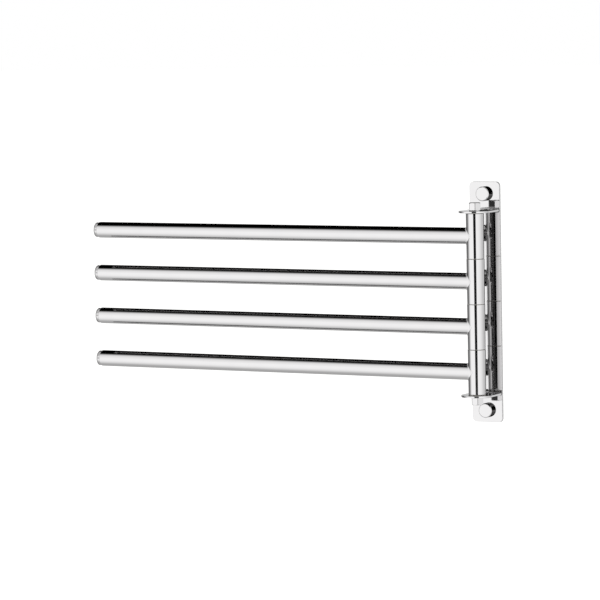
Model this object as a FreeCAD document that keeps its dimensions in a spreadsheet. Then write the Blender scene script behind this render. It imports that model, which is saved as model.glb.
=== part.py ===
"""Swing arm towel bar: four tubes that swivel on one upright pivot column.

Frame: +Z up, +Y into the wall, +X to the right of someone who faces the wall.
The origin is the middle of the wall plate's back face, so the wall is the plane Y = 0
and everything but the two screws stands at Y < 0. At rest the arms lie along -X,
parallel to the wall. All sizes are in millimetres.
"""
import FreeCAD, Part
import os
import re

import Sketcher
from FreeCAD import Base

ARMS = 4

# The driving sizes: one named value for each size that can be set by itself.
SIZES = (
    ("plate_width", 33.0, "wall plate, left to right"),
    ("plate_end", 27.6, "wall plate past an ear, at each end"),
    ("plate_thk", 3.0, "wall plate sheet"),
    ("plate_corner", 4.5, "radius of the wall plate's corners"),
    ("plate_edge", 0.4, "chamfer on the wall plate's front edge"),
    ("screw_inset", 12.0, "wall screw to the plate's end"),
    ("screw_hole_dia", 5.0, "screw holes in the plate"),
    ("axis_standoff", 22.0, "front of the plate to the pivot axis"),
    ("ear_radius", 16.0, "full-round front end of an ear, half its width"),
    ("ear_thk", 2.0, "ear sheet"),
    ("ear_edge", 0.3, "chamfer on an ear's free edges"),
    ("shaft_dia", 8.0, "pivot shaft between its shoulders"),
    ("shaft_end_dia", 6.35, "quarter-inch ends of the shaft"),
    ("shaft_end_chamfer", 0.6, "lead-in on the shaft's ends"),
    ("shaft_end_sunk", 0.4, "shaft end below the outer face of its nut"),
    ("nut_flats", 11.1, "lock nut across its flats"),
    ("nut_height", 7.9, "lock nut"),
    ("nut_rim", 0.3, "width of the nut's end faces lost to the rim chamfers, at the flats"),
    ("barrel_dia", 18.0, "outside of a barrel"),
    ("barrel_wall", 1.5, "barrel tube"),
    ("barrel_length", 44.5, "barrel tube"),
    ("barrel_edge", 0.3, "chamfer on a barrel's ends"),
    ("bush_length", 12.0, "nylon bush in each end of a barrel"),
    ("bush_chamfer", 0.5, "lead-in of a bush"),
    ("washer_thk", 0.5, "thrust washer"),
    ("washer_dia", 16.6, "thrust washer"),
    ("column_play", 0.3, "free height left above the stacked barrels"),
    ("arm_dia", 16.5, "arm tube"),
    ("arm_wall", 1.0, "arm tube"),
    ("arm_reach", 442.0, "pivot axis to the tip of an arm"),
    ("tip_head", 4.0, "part of an end cap outside the tube"),
    ("tip_round", 3.2, "rounding of an end cap"),
    ("tip_plug", 10.0, "part of an end cap inside the tube"),
    ("tip_lead", 0.5, "chamfer on the inner end of that part"),
    ("cover_dia", 14.4, "screw cover"),
    ("cover_height", 5.5, "screw cover"),
    ("cover_wall", 1.2, "screw cover"),
    ("cover_edge", 0.7, "chamfer on a screw cover's rim"),
    ("seat_thk", 2.0, "ring that carries a screw cover"),
    ("seat_lead", 0.3, "lead-in of that ring"),
    ("seat_hole_dia", 4.6, "hole in that ring"),
    ("screw_dia", 4.0, "wall screw over its thread"),
    ("screw_neck_dia", 3.4, "plain neck of a wall screw"),
    ("screw_head_dia", 7.6, "wall screw head"),
    ("screw_head_thk", 1.9, "wall screw head"),
    ("screw_head_slope", 0.95, "part of that height over which the head narrows"),
    ("screw_head_flat", 4.6, "flat top of the head"),
    ("screw_reach", 28.0, "wall screw past the plate's back"),
    ("screw_point", 5.0, "tapered point of a wall screw"),
    ("run_clearance", 0.05, "radial, between a turning piece and the shaft"),
    ("hole_clearance", 0.15, "radial, between the shaft and what it passes through"),
    ("seat_clearance", 0.02, "between pieces that are pressed, screwed or welded together"),
)

doc = FreeCAD.newDocument("towel_bar")
sheet = doc.addObject("Spreadsheet::Sheet", "Sizes")
for row, (alias, value, meaning) in enumerate(SIZES, start=1):
    sheet.set(f"A{row}", alias)
    sheet.set(f"B{row}", str(value))
    sheet.set(f"C{row}", meaning)
    sheet.setAlias(f"B{row}", alias)
doc.recompute()


NAMES = {alias for alias, _, _ in SIZES}


def sized(text):
    """An expression in the sheet's names, with each name given its sheet."""
    return re.sub(r"[a-z_]+", lambda m: f"Sizes.{m[0]}" if m[0] in NAMES else m[0], text)


def value_of(text):
    """The number that such an expression has now."""
    return float(sheet.evalExpression(sized(text)))


# Places that several pieces share.
AXIS_Y = "-(plate_thk + axis_standoff)"
COLUMN = f"({ARMS} * barrel_length + {ARMS + 1} * washer_thk + column_play)"
LEVEL = "(barrel_length + washer_thk)"
BARREL_BORE = "(barrel_dia / 2 - barrel_wall)"
ARM_TUBE_END = "(arm_reach - tip_head)"
EAR_FACE = f"({COLUMN} / 2 + ear_thk)"
PLATE_TOP = f"({EAR_FACE} + plate_end)"
SCREW_HEIGHT = f"({PLATE_TOP} - screw_inset)"


def barrel_foot(arm):
    """Height of the foot of a barrel; arm 1 is the top one."""
    return f"(-{COLUMN} / 2 + washer_thk + {ARMS - arm} * {LEVEL})"


def new_body(name, x="0", y="0", z="0"):
    """An empty body, placed at x, y, z."""
    body = doc.addObject("PartDesign::Body", name)
    body.Label = name
    for axis, text in (("x", x), ("y", y), ("z", z)):
        body.setExpression(f"Placement.Base.{axis}", sized(text))
    return body


def new_sketch(body, name, role, offset="0"):
    """A sketch on one of the body's own origin planes, or that far above it."""
    sketch = body.newObject("Sketcher::SketchObject", f"{body.Name}_{name}")
    plane = next(f for f in body.Origin.OriginFeatures if f.Role == role)
    sketch.AttachmentSupport = [(plane, "")]
    sketch.MapMode = "FlatFace"
    sketch.setExpression("AttachmentOffset.Base.z", sized(offset))
    return sketch


def bind(sketch, constraint, text):
    """Adds a constraint that takes its value from the sheet."""
    index = sketch.addConstraint(constraint)
    sketch.setExpression(f"Constraints[{index}]", sized(text))


def add_circle(sketch, radius, x="0", y="0"):
    """A circle of that radius about x, y."""
    centre = Base.Vector(value_of(x), value_of(y), 0)
    circle = Part.Circle(centre, Base.Vector(0, 0, 1), value_of(radius))
    geo = sketch.addGeometry(circle, False)
    for kind, text, here in (("DistanceX", x, centre.x), ("DistanceY", y, centre.y)):
        bind(sketch, Sketcher.Constraint(kind, -1, 1, geo, 3, here), text)
    bind(sketch, Sketcher.Constraint("Radius", geo, value_of(radius)), radius)


def add_outline(sketch, corners):
    """A closed outline through the corners, each a pair of expressions."""
    at = [Base.Vector(value_of(x), value_of(y), 0) for x, y in corners]
    first = sketch.GeometryCount
    count = len(at)
    for i in range(count):
        sketch.addGeometry(Part.LineSegment(at[i], at[(i + 1) % count]), False)
    for i in range(count):
        joined = Sketcher.Constraint("Coincident", first + i, 2, first + (i + 1) % count, 1)
        sketch.addConstraint(joined)
    for i, (x, y) in enumerate(corners):
        bind(sketch, Sketcher.Constraint("DistanceX", -1, 1, first + i, 1, at[i].x), x)
        bind(sketch, Sketcher.Constraint("DistanceY", -1, 1, first + i, 1, at[i].y), y)


def add_feature(body, kind, name, sketch):
    """A feature of this kind on the sketch, as the body's new tip."""
    feature = body.newObject(f"PartDesign::{kind}", f"{body.Name}_{name}")
    feature.Profile = sketch
    return feature


def pad(body, name, sketch, length, both_ways=False, reverse=False):
    """Adds material along the sketch's normal."""
    feature = add_feature(body, "Pad", name, sketch)
    feature.setExpression("Length", sized(length))
    feature.Midplane = both_ways
    feature.Reversed = reverse
    doc.recompute()
    return feature


def pocket(body, name, sketch, length, both_ways=False, reverse=False):
    """Takes material away along the sketch's normal and makes sure that it did."""
    before = body.Shape.Volume
    feature = add_feature(body, "Pocket", name, sketch)
    feature.setExpression("Length", sized(length))
    feature.Midplane = both_ways
    feature.Reversed = reverse
    doc.recompute()
    if body.Shape.Volume >= before:
        raise RuntimeError(f"{feature.Name} takes nothing away")
    return feature


def turn(body, name, sketch, axis, kind="Revolution"):
    """A full turn of the sketch about its own horizontal or vertical axis."""
    feature = add_feature(body, kind, name, sketch)
    feature.ReferenceAxis = (sketch, [axis])
    feature.Angle = 360
    doc.recompute()
    return feature


def dress(body, kind, name, pick, size):
    """Fillet or Chamfer on those edges of the tip for which pick(edge) holds."""
    tip = body.Tip
    edges = [f"Edge{i}" for i, edge in enumerate(tip.Shape.Edges, start=1) if pick(edge)]
    if not edges:
        raise RuntimeError(f"{body.Name}: no edge found for {name}")
    feature = body.newObject(f"PartDesign::{kind}", f"{body.Name}_{name}")
    feature.Base = (tip, edges)
    feature.setExpression("Radius" if kind == "Fillet" else "Size", sized(size))
    doc.recompute()
    return feature


def runs_along(edge, direction):
    """Whether a straight edge runs along this direction."""
    if not isinstance(edge.Curve, Part.Line):
        return False
    return abs(abs(edge.Curve.Direction.dot(direction)) - 1) < 1e-6


def is_rim(edge, radius, axis, at):
    """Whether an edge is an arc of this radius about the body's own axis, at that height."""
    if not isinstance(edge.Curve, Part.Circle):
        return False
    centre = edge.Curve.Center
    same_size = abs(edge.Curve.Radius - value_of(radius)) < 1e-4
    return same_size and abs(getattr(centre, axis) - value_of(at)) < 1e-4


def group(name, members):
    """Several identical pieces as one node."""
    node = doc.addObject("Part::Compound", name)
    node.Label = name
    node.Links = members
    return node


def wall_plate():
    """Upright strip with rounded corners and a screw hole near each end."""
    body = new_body("wall_plate")
    face = new_sketch(body, "outline", "XZ_Plane")
    right, left, bottom = "plate_width / 2", "-plate_width / 2", f"-{PLATE_TOP}"
    add_outline(face, [(left, bottom), (right, bottom), (right, PLATE_TOP), (left, PLATE_TOP)])
    pad(body, "sheet", face, "plate_thk")
    dress(body, "Fillet", "corners", lambda e: runs_along(e, Base.Vector(0, 1, 0)), "plate_corner")
    front = value_of("-plate_thk")
    on_front = lambda e: all(abs(v.Y - front) < 1e-5 for v in e.Vertexes)
    dress(body, "Chamfer", "front_edge", on_front, "plate_edge")
    holes = new_sketch(body, "screw_holes", "XZ_Plane")
    for side in ("", "-"):
        add_circle(holes, "screw_hole_dia / 2", "0", f"{side}{SCREW_HEIGHT}")
    pocket(body, "screw_hole_cuts", holes, "3 * plate_thk", both_ways=True)
    return body


def ear(name, foot):
    """Flat tongue welded square to the plate, with a full-round end about the pivot axis."""
    body = new_body(name, y="-plate_thk", z=foot)
    tongue = new_sketch(body, "tongue", "XY_Plane")
    right, left = "ear_radius", "-ear_radius"
    add_outline(tongue, [(left, "0"), (left, "-axis_standoff"), (right, "-axis_standoff"), (right, "0")])
    pad(body, "tongue_pad", tongue, "ear_thk")
    nose = new_sketch(body, "nose", "XY_Plane")
    add_circle(nose, "ear_radius", "0", "-axis_standoff")
    pad(body, "nose_pad", nose, "ear_thk")
    free = lambda e: any(v.Y < -1e-3 for v in e.Vertexes) and not runs_along(e, Base.Vector(0, 0, 1))
    dress(body, "Chamfer", "free_edges", free, "ear_edge")
    hole = new_sketch(body, "shaft_hole", "XY_Plane")
    add_circle(hole, "shaft_end_dia / 2 + hole_clearance", "0", "-axis_standoff")
    pocket(body, "shaft_hole_cut", hole, "3 * ear_thk", both_ways=True)
    return body


def pivot_shaft():
    """Turned shaft whose shoulders keep the ears apart; its thinner ends carry the nuts."""
    body = new_body("pivot_shaft", y=AXIS_Y)
    half = new_sketch(body, "half_section", "XZ_Plane")
    shoulder = f"{COLUMN} / 2"
    end = f"({shoulder} + ear_thk + nut_height - shaft_end_sunk)"
    thick, thin = "shaft_dia / 2", "shaft_end_dia / 2"
    narrow = "(shaft_end_dia / 2 - shaft_end_chamfer)"
    upper = [
        (thick, shoulder),
        (thin, shoulder),
        (thin, f"{end} - shaft_end_chamfer"),
        (narrow, end),
        ("0", end),
    ]
    lower = [(x, f"-({z})") for x, z in reversed(upper)]
    add_outline(half, upper + lower)
    turn(body, "turned", half, "V_Axis")
    return body


def lock_nut(name, foot):
    """Hexagon nut with both rims chamfered; one corner looks between the wall and an arm."""
    body = new_body(name, y=AXIS_Y, z=foot)
    hexagon = new_sketch(body, "hexagon", "XY_Plane")
    corner = "(nut_flats / (2 * cos(30)))"
    turns = [60 * i - 60 for i in range(6)]
    corners = [(f"{corner} * cos({a})", f"{corner} * sin({a})") for a in turns]
    add_outline(hexagon, corners)
    pad(body, "hexagon_pad", hexagon, "nut_height")
    rims = new_sketch(body, "rim_cuts", "XZ_Plane")
    inner, outer = "nut_flats / 2 - nut_rim", f"{corner} + nut_rim"
    rise = f"(({outer}) - ({inner})) * tan(30)"
    add_outline(rims, [(inner, "0"), (outer, "0"), (outer, rise)])
    add_outline(rims, [(inner, "nut_height"), (outer, f"nut_height - {rise}"), (outer, "nut_height")])
    turn(body, "rims", rims, "V_Axis", kind="Groove")
    bore = new_sketch(body, "bore", "XY_Plane")
    add_circle(bore, "shaft_end_dia / 2 + seat_clearance")
    pocket(body, "bore_cut", bore, "3 * nut_height", both_ways=True)
    return body


def thrust_washer(name, foot):
    """Thin nylon ring between two barrels, or between a barrel and an ear."""
    body = new_body(name, y=AXIS_Y, z=foot)
    ring = new_sketch(body, "ring", "XY_Plane")
    add_circle(ring, "washer_dia / 2")
    add_circle(ring, "shaft_dia / 2 + hole_clearance")
    pad(body, "ring_pad", ring, "washer_thk")
    return body


def barrel(arm):
    """Length of tube that turns on the shaft and carries one arm."""
    body = new_body(f"barrel_{arm}", y=AXIS_Y, z=barrel_foot(arm))
    ring = new_sketch(body, "ring", "XY_Plane")
    add_circle(ring, "barrel_dia / 2")
    add_circle(ring, BARREL_BORE)
    pad(body, "tube", ring, "barrel_length")
    ends = ("0", "barrel_length")
    outer = lambda e: any(is_rim(e, "barrel_dia / 2", "z", at) for at in ends)
    dress(body, "Chamfer", "end_chamfers", outer, "barrel_edge")
    return body


def bush(name, foot, mouth_up):
    """Nylon bush pressed into one end of a barrel, chamfered at its inner end."""
    body = new_body(name, y=AXIS_Y, z=foot)
    ring = new_sketch(body, "ring", "XY_Plane")
    outer = f"{BARREL_BORE} - seat_clearance"
    add_circle(ring, outer)
    add_circle(ring, "shaft_dia / 2 + run_clearance")
    pad(body, "sleeve", ring, "bush_length")
    lead = "0" if mouth_up else "bush_length"
    dress(body, "Chamfer", "lead_in", lambda e: is_rim(e, outer, "z", lead), "bush_chamfer")
    return body


def arm_tube(arm):
    """Long tube along -X, its inner end coped to lie round the barrel that it is welded to."""
    middle = f"{barrel_foot(arm)} + barrel_length / 2"
    body = new_body(f"arm_tube_{arm}", y=AXIS_Y, z=middle)
    ring = new_sketch(body, "ring", "YZ_Plane")
    add_circle(ring, "arm_dia / 2")
    add_circle(ring, "arm_dia / 2 - arm_wall")
    pad(body, "tube", ring, ARM_TUBE_END, reverse=True)
    cope = new_sketch(body, "cope", "XY_Plane")
    add_circle(cope, "barrel_dia / 2 + seat_clearance")
    pocket(body, "cope_cut", cope, "2 * arm_dia", both_ways=True)
    return body


def end_cap(arm):
    """Plug with a rounded head that closes the free end of an arm."""
    middle = f"{barrel_foot(arm)} + barrel_length / 2"
    body = new_body(f"end_cap_{arm}", x=f"-{ARM_TUBE_END}", y=AXIS_Y, z=middle)
    half = new_sketch(body, "half_section", "XZ_Plane")
    head, plug = "arm_dia / 2", "(arm_dia / 2 - arm_wall - seat_clearance)"
    section = [
        ("-tip_head", "0"),
        ("-tip_head", head),
        ("0", head),
        ("0", plug),
        ("tip_plug - tip_lead", plug),
        ("tip_plug", f"{plug} - tip_lead"),
        ("tip_plug", "0"),
    ]
    add_outline(half, section)
    turn(body, "turned", half, "H_Axis")
    dress(body, "Fillet", "rounding", lambda e: is_rim(e, head, "x", "-tip_head"), "tip_round")
    return body


def across_wall(name, height):
    """A body whose own +Z points out of the wall, standing on the plate's front."""
    body = new_body(name, y="-plate_thk", z=height)
    body.Placement.Rotation = Base.Rotation(Base.Vector(1, 0, 0), 90)
    return body


def wall_screw(name, height):
    """Round-headed wood screw through the plate and into the wall."""
    body = across_wall(name, height)
    half = new_sketch(body, "half_section", "XZ_Plane")
    back, tip = "-plate_thk", "(-plate_thk - screw_reach)"
    top = "(seat_thk + screw_head_thk)"
    neck, thread, head = "screw_neck_dia / 2", "screw_dia / 2", "screw_head_dia / 2"
    section = [
        ("0", tip),
        (thread, f"{tip} + screw_point"),
        (thread, back),
        (neck, back),
        (neck, "seat_thk"),
        (head, "seat_thk"),
        (head, f"{top} - screw_head_slope"),
        ("screw_head_flat / 2", top),
        ("0", top),
    ]
    add_outline(half, section)
    turn(body, "turned", half, "V_Axis")
    return body


def cover_seat(name, height):
    """Ring held under the screw's head, over which the cover is pressed."""
    body = across_wall(name, height)
    ring = new_sketch(body, "ring", "XY_Plane")
    outer = "cover_dia / 2 - cover_wall - seat_clearance"
    add_circle(ring, outer)
    add_circle(ring, "seat_hole_dia / 2")
    pad(body, "ring_pad", ring, "seat_thk")
    dress(body, "Chamfer", "lead_in", lambda e: is_rim(e, outer, "z", "seat_thk"), "seat_lead")
    return body


def screw_cover(name, height):
    """Turned cup that hides the screw's head."""
    body = across_wall(name, height)
    half = new_sketch(body, "half_section", "XZ_Plane")
    outer, inner = "cover_dia / 2", "(cover_dia / 2 - cover_wall)"
    ceiling = "(cover_height - cover_wall)"
    section = [
        (inner, "0"),
        (outer, "0"),
        (outer, "cover_height"),
        ("0", "cover_height"),
        ("0", ceiling),
        (inner, ceiling),
    ]
    add_outline(half, section)
    turn(body, "turned", half, "V_Axis")
    dress(body, "Chamfer", "rim", lambda e: is_rim(e, outer, "z", "cover_height"), "cover_edge")
    return body


nodes = [wall_plate()]
nodes.append(ear("upper_ear", f"{COLUMN} / 2"))
nodes.append(ear("lower_ear", f"-{COLUMN} / 2 - ear_thk"))
nodes.append(pivot_shaft())

nuts = [lock_nut("nut_above", EAR_FACE), lock_nut("nut_below", f"-{EAR_FACE} - nut_height")]
nodes.append(group("lock_nuts", nuts))

feet = [f"-{COLUMN} / 2 + {i} * {LEVEL}" for i in range(ARMS + 1)]
washers = [thrust_washer(f"washer_{i + 1}", foot) for i, foot in enumerate(feet)]
nodes.append(group("thrust_washers", washers))

for arm in range(1, ARMS + 1):
    foot = barrel_foot(arm)
    nodes.append(barrel(arm))
    nodes.append(bush(f"upper_bush_{arm}", f"{foot} + barrel_length - bush_length", True))
    nodes.append(bush(f"lower_bush_{arm}", foot, False))
    nodes.append(arm_tube(arm))
    nodes.append(end_cap(arm))

heights = {"upper": SCREW_HEIGHT, "lower": f"-{SCREW_HEIGHT}"}
screws = [wall_screw(f"{end}_screw", height) for end, height in heights.items()]
nodes.append(group("wall_screws", screws))
for end, height in heights.items():
    nodes.append(cover_seat(f"{end}_cover_seat", height))
    nodes.append(screw_cover(f"{end}_screw_cover", height))

doc.recompute()

for item in doc.Objects:
    if {"Invalid", "Error"} & set(item.State):
        raise RuntimeError(f"{item.Name} is {item.State}")
for node in nodes:
    if node.Shape.isNull() or not node.Shape.isValid():
        raise RuntimeError(f"{node.Label} has no valid shape")

os.makedirs("parts", exist_ok=True)
for node in nodes:
    node.Shape.exportStep(f"parts/{node.Label}.step")
    box = node.Shape.BoundBox
    low = (round(box.XMin, 2), round(box.YMin, 2), round(box.ZMin, 2))
    high = (round(box.XMax, 2), round(box.YMax, 2), round(box.ZMax, 2))
    print(f"{node.Label}: {len(node.Shape.Solids)} solid(s), {node.Shape.Volume:.1f} mm3, {low} to {high}")
print(f"{len(nodes)} nodes, column {value_of(COLUMN):.2f} mm, plate {2 * value_of(PLATE_TOP):.2f} mm high")
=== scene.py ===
# %% [markdown]
# # A swing arm towel bar in polished stainless steel
# Four round arms hang on one post in front of a narrow wall plate, and each
# arm swings on its own barrel.  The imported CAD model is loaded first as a
# fixed frame.  Every piece below is then made finer than its CAD solid, in
# metres and in the same place, so nothing has to be fitted by eye.

# %% Load the frame
import bpy
import bmesh
import math
from mathutils import Matrix, Vector


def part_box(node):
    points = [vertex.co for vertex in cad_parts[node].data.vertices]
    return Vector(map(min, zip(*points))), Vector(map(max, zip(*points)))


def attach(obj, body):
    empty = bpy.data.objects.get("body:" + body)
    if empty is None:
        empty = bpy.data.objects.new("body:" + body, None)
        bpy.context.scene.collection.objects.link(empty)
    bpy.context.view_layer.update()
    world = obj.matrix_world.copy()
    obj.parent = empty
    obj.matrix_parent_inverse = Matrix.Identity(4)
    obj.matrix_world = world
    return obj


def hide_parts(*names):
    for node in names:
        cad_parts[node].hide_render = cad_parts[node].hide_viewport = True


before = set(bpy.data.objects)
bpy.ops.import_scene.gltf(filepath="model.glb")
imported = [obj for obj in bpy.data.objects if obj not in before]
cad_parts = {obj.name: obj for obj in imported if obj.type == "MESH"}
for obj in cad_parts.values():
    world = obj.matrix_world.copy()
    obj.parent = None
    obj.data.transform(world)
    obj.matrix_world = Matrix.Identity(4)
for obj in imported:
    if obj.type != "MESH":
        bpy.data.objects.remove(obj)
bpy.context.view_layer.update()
MM = 0.001

# %% [markdown]
# ## Sizes that come from the frame
# The sizes are read from the boxes of the CAD nodes where that is possible,
# so a new pack with other sizes moves the finished pieces as well.  Only
# what a box doesn't tell is written in the cells below: the walls, the holes,
# the welds and the roundings of each piece.

# %% Read the main sizes
plate_low, plate_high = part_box("wall_plate")
ear_low, ear_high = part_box("upper_ear")
POST_Y = ear_low.y + (ear_high.x - ear_low.x) / 2
ARMS = [1, 2, 3, 4]
ARM_HEIGHT = {}
BARREL_BOX = {}
for k in ARMS:
    low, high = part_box(f"arm_tube_{k}")
    ARM_HEIGHT[k] = (low.z + high.z) / 2
    BARREL_BOX[k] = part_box(f"barrel_{k}")
TUBE_LOW, TUBE_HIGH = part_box("arm_tube_1")
TUBE_RADIUS = (TUBE_HIGH.z - TUBE_LOW.z) / 2
TUBE_END = TUBE_LOW.x
CAP_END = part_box("end_cap_1")[0].x
BARREL_RADIUS = (BARREL_BOX[1][1].x - BARREL_BOX[1][0].x) / 2
print("post is at y =", round(POST_Y / MM, 2), "mm")
print("arm heights, mm:", {k: round(z / MM, 2) for k, z in ARM_HEIGHT.items()})
print("tube radius, mm:", round(TUBE_RADIUS / MM, 2),
      "barrel radius, mm:", round(BARREL_RADIUS / MM, 2))

# %% [markdown]
# ## Two helpers for node trees
# Colours are written as the hex codes that a colour picker shows, and one
# function turns them to the linear numbers that Blender reckons with.  The
# other helper adds one node with its settings and its links, and it is used
# by every material, by every Geometry Nodes tree and by the world.

# %% Colour and node helpers
def linear(hex_code):
    parts = [int(hex_code[i:i + 2], 16) / 255 for i in (1, 3, 5)]
    return [c / 12.92 if c <= 0.04045 else ((c + 0.055) / 1.055) ** 2.4
            for c in parts] + [1.0]


def add_node(tree, kind, inputs=None, **settings):
    node = tree.nodes.new(kind)
    for name, value in settings.items():
        setattr(node, name, value)
    for socket, value in (inputs or {}).items():
        if isinstance(value, bpy.types.NodeSocket):
            tree.links.new(value, node.inputs[socket])
        else:
            node.inputs[socket].default_value = value
    return node


print("#808080 in linear numbers:", round(linear("#808080")[0], 4))

# %% [markdown]
# ## Mirror polished stainless steel
# The tubes, the barrels, the plate and the covers are stainless steel that
# was ground and then polished to a mirror on a cloth wheel.  Such steel
# has no colour pattern: the eye reads it by what it reflects.  What tells
# it from chrome plating is the grain that the grinding leaves, very fine
# lines along the way the piece was moved, and a cloudy change in gloss
# where the wheel pressed more or less.  The real lines are about 0.02 mm
# apart, too fine to show, so they are drawn 0.35 mm apart and very shallow.
# The wheel doesn't reach the edge of the plate that lies against the wall,
# so that edge stays ground and dull.

# %% Polished steel, with the grain along a chosen axis
GRAIN_APART = 0.35 * MM
GRAIN_LONG = 60 * MM
GRAIN_DEEP = 0.0006 * MM
CLOUD_WIDE = 18 * MM
GROUND_EDGE = 0.12 * MM


def polished_steel(name, grain_axis, ground_behind=None):
    material = bpy.data.materials.new(name)
    material.use_nodes = True
    tree = material.node_tree
    shader = tree.nodes["Principled BSDF"]
    place = add_node(tree, "ShaderNodeTexCoord").outputs["Object"]
    # grain: fine lines across the piece, long ones along its axis
    scale = [1 / GRAIN_APART] * 3
    scale[grain_axis] = 1 / GRAIN_LONG
    stretch = add_node(tree, "ShaderNodeMapping",
                       {"Vector": place, "Scale": scale})
    grain = add_node(tree, "ShaderNodeTexNoise",
                     {"Vector": stretch.outputs["Vector"], "Scale": 1.0,
                      "Detail": 2.0, "Roughness": 0.6})
    # clouds: patches where the wheel pressed harder
    clouds = add_node(tree, "ShaderNodeTexNoise",
                      {"Vector": place, "Scale": 1 / CLOUD_WIDE, "Detail": 3.0})
    gloss = add_node(tree, "ShaderNodeMapRange",
                     {"Value": clouds.outputs["Fac"], "From Min": 0.3,
                      "From Max": 0.7, "To Min": 0.035, "To Max": 0.075}
                    ).outputs["Result"]
    if ground_behind is not None:
        # the cut edge behind this y is only ground, so it spreads the light
        depth = add_node(tree, "ShaderNodeSeparateXYZ", {0: place}).outputs["Y"]
        edge = add_node(tree, "ShaderNodeMath", {0: depth, 1: ground_behind},
                        operation="GREATER_THAN").outputs[0]
        gloss = add_node(tree, "ShaderNodeMath",
                         {0: edge, 1: 0.5, 2: gloss},
                         operation="MULTIPLY_ADD").outputs[0]
    tint = add_node(tree, "ShaderNodeMix",
                    {0: clouds.outputs["Fac"],
                     6: linear("#F3F2F2"), 7: linear("#EDECED")},
                    data_type="RGBA")
    bump = add_node(tree, "ShaderNodeBump",
                    {"Height": grain.outputs["Fac"], "Strength": 0.25,
                     "Distance": GRAIN_DEEP})
    tree.links.new(tint.outputs[2], shader.inputs["Base Color"])
    tree.links.new(gloss, shader.inputs["Roughness"])
    tree.links.new(bump.outputs["Normal"], shader.inputs["Normal"])
    shader.inputs["Metallic"].default_value = 1.0
    return material


polished_tube = polished_steel("stainless_mirror_polished_along", 0)
polished_barrel = polished_steel("stainless_mirror_polished_upright", 2)
polished_plate = polished_steel("stainless_mirror_with_ground_edge", 2,
                                plate_low.y + GROUND_EDGE)
print("made", polished_tube.name, polished_barrel.name, polished_plate.name)

# %% [markdown]
# ## Turned steel and natural nylon
# The post and the screws are turned steel that nobody polished: the lathe
# tool leaves rings round them, which spread the highlight.  Such rings are
# about 0.2 mm apart and are drawn at that size.  The bushes, the cover seats
# and the thin washers are natural nylon, a milky plastic with a soft shine
# and a faint mottle from the mould; a little light goes into it.

# %% Turned steel
TOOL_RINGS_APART = 0.2 * MM
SPOT_WIDE = 3 * MM


def turned_steel(name, hex_code, axis, roughness):
    material = bpy.data.materials.new(name)
    material.use_nodes = True
    tree = material.node_tree
    shader = tree.nodes["Principled BSDF"]
    place = add_node(tree, "ShaderNodeTexCoord").outputs["Object"]
    # tool rings along the axis of the lathe; at a scale of 1 the bands of
    # this texture are pi / 10 apart
    rings = add_node(tree, "ShaderNodeTexWave",
                     {"Vector": place, "Scale": math.pi / 10 / TOOL_RINGS_APART,
                      "Distortion": 0.6, "Detail": 1.0},
                     wave_type="BANDS", bands_direction=axis)
    spots = add_node(tree, "ShaderNodeTexNoise",
                     {"Vector": place, "Scale": 1 / SPOT_WIDE, "Detail": 4.0})
    gloss = add_node(tree, "ShaderNodeMapRange",
                     {"Value": spots.outputs["Fac"], "To Min": roughness - 0.06,
                      "To Max": roughness + 0.10})
    tint = add_node(tree, "ShaderNodeMix",
                    {0: spots.outputs["Fac"],
                     6: linear(hex_code), 7: linear("#A9A8A7")},
                    data_type="RGBA")
    bump = add_node(tree, "ShaderNodeBump",
                    {"Height": rings.outputs["Fac"], "Strength": 0.4,
                     "Distance": 0.01 * MM})
    tree.links.new(tint.outputs[2], shader.inputs["Base Color"])
    tree.links.new(gloss.outputs["Result"], shader.inputs["Roughness"])
    tree.links.new(bump.outputs["Normal"], shader.inputs["Normal"])
    shader.inputs["Metallic"].default_value = 1.0
    return material


post_steel = turned_steel("stainless_turned_post", "#CBC9C6", "Z", 0.24)
screw_steel = turned_steel("stainless_plain_screw", "#C3C2C0", "Y", 0.32)
print("made", post_steel.name, "and", screw_steel.name)


# %% Natural nylon
MOTTLE_WIDE = 1.5 * MM
NYLON_IOR = 1.53


def nylon(name):
    material = bpy.data.materials.new(name)
    material.use_nodes = True
    tree = material.node_tree
    shader = tree.nodes["Principled BSDF"]
    place = add_node(tree, "ShaderNodeTexCoord").outputs["Object"]
    # mottle: cloudy patches, from the way nylon sets in the mould
    mottle = add_node(tree, "ShaderNodeTexNoise",
                      {"Vector": place, "Scale": 1 / MOTTLE_WIDE, "Detail": 4.0})
    tint = add_node(tree, "ShaderNodeMix",
                    {0: mottle.outputs["Fac"],
                     6: linear("#EAE7DE"), 7: linear("#DDD9CE")},
                    data_type="RGBA")
    gloss = add_node(tree, "ShaderNodeMapRange",
                     {"Value": mottle.outputs["Fac"],
                      "To Min": 0.34, "To Max": 0.52})
    bump = add_node(tree, "ShaderNodeBump",
                    {"Height": mottle.outputs["Fac"], "Strength": 0.3,
                     "Distance": 0.02 * MM})
    tree.links.new(tint.outputs[2], shader.inputs["Base Color"])
    tree.links.new(gloss.outputs["Result"], shader.inputs["Roughness"])
    tree.links.new(bump.outputs["Normal"], shader.inputs["Normal"])
    shader.inputs["IOR"].default_value = NYLON_IOR
    shader.inputs["Subsurface Weight"].default_value = 0.15
    shader.inputs["Subsurface Radius"].default_value = (0.001, 0.001, 0.0008)
    return material


natural_nylon = nylon("nylon_natural_moulded")
print("made", natural_nylon.name)

# %% [markdown]
# ## Turned shapes from a profile
# Barrels, caps, covers, washers and screws are all round about one axis, so
# their shape is a profile spun round it.  The profile is a list of radius
# and height.  `softened` puts a small arc in place of a sharp corner,
# because a real edge always has one and it is that arc that catches light.
# The spinning is done in bmesh, where the poles and the seam are closed for
# certain, and the flat faces keep flat normals by their larger area.

# %% Profile helpers
SAME_POINT = 0.000002      # metres; nearer points are merged
ON_AXIS = 1e-7             # metres; a ring this small is one point


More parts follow.
